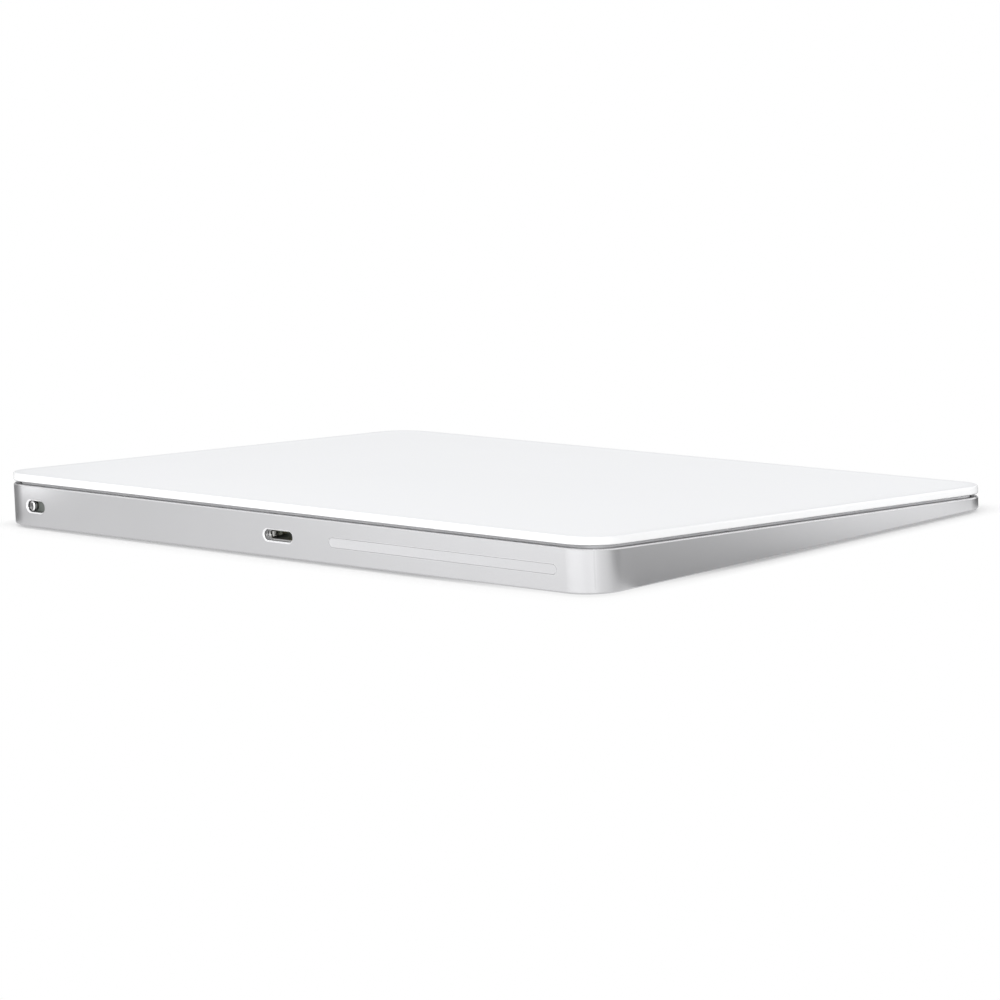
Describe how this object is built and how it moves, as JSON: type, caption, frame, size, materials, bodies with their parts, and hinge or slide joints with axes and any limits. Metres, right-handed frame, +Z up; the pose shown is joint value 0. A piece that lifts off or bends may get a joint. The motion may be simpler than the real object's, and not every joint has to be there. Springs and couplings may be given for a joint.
{
  "type": "trackpad",
  "caption": "Wedge-shaped desk trackpad: aluminium enclosure, floating white glass touch plate that presses and shifts, rear port and sliding power switch.",
  "frame": {"origin": "centre of the footprint at the bottom of the feet", "axes": "+X to the right for a user facing the front edge, +Y from the thin front edge to the thick rear face, +Z up"},
  "size_m": [0.16, 0.115, 0.0109],
  "materials": {
    "aluminium_blasted": "fine bead-blasted and anodised",
    "window_plastic": "fine matt, flush with the rear face",
    "cover_aluminium": "fine bead-blasted and anodised",
    "clear_adhesive": "adhesive film",
    "foot_rubber": "soft, light grey",
    "white_glass": "satin top over a white backing, opaque",
    "carrier_plastic": "light grey, fine matt",
    "circuit_board": "solder mask over glass laminate",
    "stainless_sheet": "rolled sheet",
    "soft_iron": "plain ground",
    "copper_winding": "enamelled wire",
    "chip_black": "moulded chip bodies",
    "connector_plastic": "moulded plastic",
    "flex_circuit": "polyimide film",
    "gel": "soft damping gel",
    "screw_steel": "plain steel",
    "cell_pouch": "wrapped pouch cell",
    "port_steel": "drawn stainless steel",
    "contact_gold": "plated contacts",
    "knob_metal": "polished and anodised",
    "slider_plastic": "dark grey, smooth"
  },
  "bodies": {
    "base": {"enclosure": "aluminium_blasted", "antenna_window": "window_plastic", "bottom_cover": "cover_aluminium", "cover_adhesive": "clear_adhesive", "battery_tape": "clear_adhesive", "feet": "foot_rubber", "main_board": "circuit_board", "battery_guard_board": "circuit_board", "port_strap": "stainless_sheet", "switch_bracket": "stainless_sheet", "shield_cans": "stainless_sheet", "haptic_base": "stainless_sheet", "haptic_cores": "soft_iron", "haptic_coils": "copper_winding", "board_chips": "chip_black", "board_connectors": "connector_plastic", "port_insulator": "connector_plastic", "switch_body": "connector_plastic", "haptic_flex": "flex_circuit", "battery_flex": "flex_circuit", "port_flex": "flex_circuit", "antenna_flex": "flex_circuit", "antenna_film": "flex_circuit", "switch_flex": "flex_circuit", "beam_screws": "screw_steel", "haptic_screws": "screw_steel", "board_screws": "screw_steel", "port_screws": "screw_steel", "switch_screws": "screw_steel", "battery_cells": "cell_pouch", "port_shell": "port_steel", "port_latch_springs": "port_steel", "port_contacts": "contact_gold"},
    "touch_plate": {"glass_plate": "white_glass", "carrier_frame": "carrier_plastic", "sensor_board": "circuit_board", "stiffener_plate": "stainless_sheet", "sensor_chips": "chip_black", "attraction_plate": "soft_iron", "sensor_flex": "flex_circuit"},
    "force_mounts": {"force_beams": "stainless_sheet", "strain_gauges": "chip_black", "gel_pads": "gel"},
    "power_slider": {"switch_knob": "knob_metal", "slider_plate": "slider_plastic"}
  },
  "joints": [
    {"name": "plate_press", "type": "slide", "parent": "base", "child": "force_mounts", "axis": [0, 0.0521, -0.9986], "range_m": [0, 0.00015], "stiffness_N_per_m": 30000, "springref_m": -0.00005},
    {"name": "plate_shift", "type": "slide", "parent": "force_mounts", "child": "touch_plate", "axis": [1, 0, 0], "range_m": [-0.00015, 0.00015], "stiffness_N_per_m": 20000},
    {"name": "power_slide", "type": "slide", "parent": "base", "child": "power_slider", "axis": [-1, 0, 0], "range_m": [0, 0.0031]}
  ]
}
